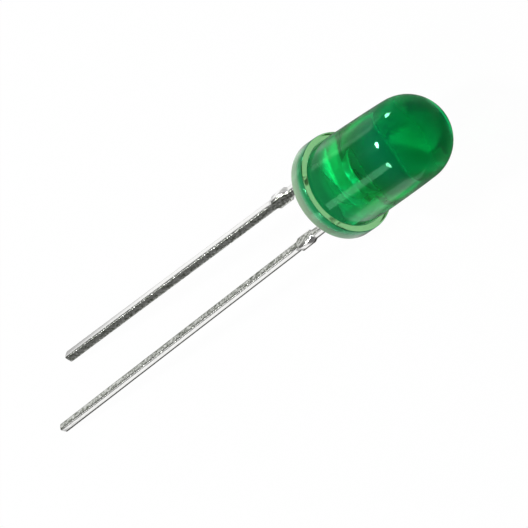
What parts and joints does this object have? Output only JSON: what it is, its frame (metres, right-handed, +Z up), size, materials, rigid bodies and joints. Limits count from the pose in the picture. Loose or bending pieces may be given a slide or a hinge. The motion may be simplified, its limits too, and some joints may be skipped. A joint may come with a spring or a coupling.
{
  "type": "through hole LED",
  "caption": "Round green through-hole indicator LED with a flanged, domed tinted lens and straight square leads of unequal length.",
  "frame": {"origin": "centre of the flange's underside, the seating plane, on the lens axis", "axes": "the LED lies at rest on its flange's edge and the tips of its leads, +Z up: the dome points to -Y and a little up, the leads to +Y, the cathode to +X"},
  "size_m": [0.0056, 0.0377, 0.0059],
  "materials": {
    "green_epoxy": "clear cast epoxy, tinted deep green, polished",
    "tinned_lead": "stamped steel, hot tin dipped, bright with soft grain",
    "silver_epoxy": "cured silver-filled paste",
    "chip": "sawn and polished semiconductor crystal",
    "gold_wire": "drawn gold, bright"
  },
  "bodies": {
    "root": {"lens_body": "green_epoxy", "cathode_lead": "tinned_lead", "anode_lead": "tinned_lead", "die_attach": "silver_epoxy", "led_chip": "chip", "bond_wire": "gold_wire"}
  },
  "joints": []
}
